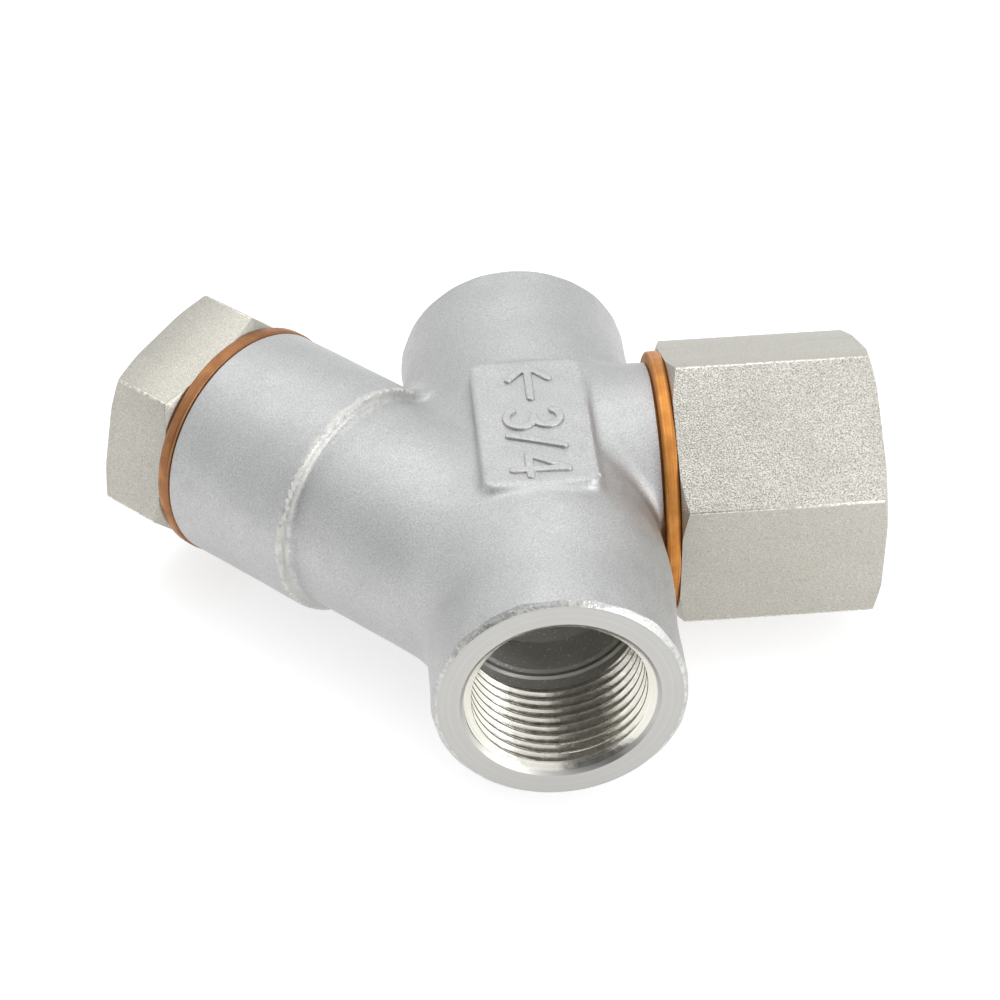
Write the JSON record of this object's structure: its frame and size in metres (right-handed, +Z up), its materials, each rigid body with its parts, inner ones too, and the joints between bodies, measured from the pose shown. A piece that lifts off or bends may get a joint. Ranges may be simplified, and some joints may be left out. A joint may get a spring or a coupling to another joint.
{
  "type": "y strainer",
  "caption": "Threaded stainless Y strainer with a 45 degree screened leg, a hexagon plug, and a right-angle boss under a tall hexagon cap that houses a thermostatic trap valve.",
  "frame": {"origin": "middle of the bounding box's base", "axes": "+Y along the run towards the outlet, +X towards the tall cap, +Z up out of the raised pad; the screened leg leaves the run at 45 degrees towards -X +Y"},
  "size_m": [0.1132, 0.0856, 0.0437],
  "materials": {
    "cast_stainless": "investment-cast stainless steel, bead-blasted matt grey; the port faces and threads are turned bright",
    "hexagon_stainless": "hexagon stainless steel with a coarse blasted surface and turned end chamfers",
    "copper": "soft copper sealing ring, rounded outer edge, lightly drawn",
    "screen_steel": "perforated stainless sheet, rolled, with pressed end rings",
    "machined_stainless": "turned stainless steel",
    "bimetal": "rolled bimetal strip, punched and dished",
    "spring_steel": "drawn stainless spring wire"
  },
  "bodies": {
    "root": {"body": "cast_stainless", "valve_seat": "machined_stainless", "seat_gasket": "copper", "base_plate": "machined_stainless"},
    "screen": {"strainer_screen": "screen_steel", "screen_inner_ring": "screen_steel", "screen_outer_ring": "screen_steel"},
    "plug_gasket_ring": {"plug_gasket": "copper"},
    "plug": {"strainer_plug": "hexagon_stainless"},
    "cap_gasket_ring": {"cap_gasket": "copper"},
    "cap": {"trap_cap": "hexagon_stainless"},
    "stem": {"valve_stem": "machined_stainless", "stack_washer": "machined_stainless", "overload_spring": "spring_steel", "spring_washer": "machined_stainless", "adjusting_nut": "machined_stainless", "lock_nut": "machined_stainless"},
    "disc_pair_1": {"bimetal_disc_1": "bimetal", "bimetal_disc_2": "bimetal"},
    "disc_pair_2": {"bimetal_disc_3": "bimetal", "bimetal_disc_4": "bimetal"},
    "disc_pair_3": {"bimetal_disc_5": "bimetal", "bimetal_disc_6": "bimetal"},
    "disc_pair_4": {"bimetal_disc_7": "bimetal", "bimetal_disc_8": "bimetal"}
  },
  "joints": [
    {"name": "strainer_draw", "type": "slide", "parent": "root", "child": "screen", "axis": [-0.7071, 0.7071, 0], "range_m": [0, 0.05]},
    {"name": "plug_screw_out", "type": "slide", "parent": "screen", "child": "plug_gasket_ring", "axis": [-0.7071, 0.7071, 0], "range_m": [0, 0.0121]},
    {"name": "plug_turn", "type": "hinge", "parent": "plug_gasket_ring", "child": "plug", "pos_m": [-0.03899, 0.02519, 0.02184], "axis": [-0.7071, 0.7071, 0], "range_deg": [0, 2880]},
    {"name": "cap_screw_out", "type": "slide", "parent": "root", "child": "cap_gasket_ring", "axis": [1, 0, 0], "range_m": [0, 0.0091]},
    {"name": "cap_turn", "type": "hinge", "parent": "cap_gasket_ring", "child": "cap", "pos_m": [0.03697, 0.00453, 0.02184], "axis": [1, 0, 0], "range_deg": [0, 2160]},
    {"name": "valve_stroke", "type": "slide", "parent": "root", "child": "stem", "axis": [1, 0, 0], "range_m": [0, 0.0015]},
    {"name": "disc_pair_1_rise", "type": "slide", "parent": "root", "child": "disc_pair_1", "axis": [1, 0, 0], "range_m": [0, 0.000198]},
    {"name": "disc_pair_2_rise", "type": "slide", "parent": "root", "child": "disc_pair_2", "axis": [1, 0, 0], "range_m": [0, 0.000573]},
    {"name": "disc_pair_3_rise", "type": "slide", "parent": "root", "child": "disc_pair_3", "axis": [1, 0, 0], "range_m": [0, 0.000947]},
    {"name": "disc_pair_4_rise", "type": "slide", "parent": "root", "child": "disc_pair_4", "axis": [1, 0, 0], "range_m": [0, 0.00132]}
  ],
  "couplings": [
    {"joint": "plug_screw_out", "follows": "plug_turn", "m_per_rad": 0.00023873},
    {"joint": "cap_screw_out", "follows": "cap_turn", "m_per_rad": 0.00023873},
    {"joint": "disc_pair_1_rise", "follows": "valve_stroke", "ratio": 0.125},
    {"joint": "disc_pair_2_rise", "follows": "valve_stroke", "ratio": 0.375},
    {"joint": "disc_pair_3_rise", "follows": "valve_stroke", "ratio": 0.625},
    {"joint": "disc_pair_4_rise", "follows": "valve_stroke", "ratio": 0.875}
  ]
}
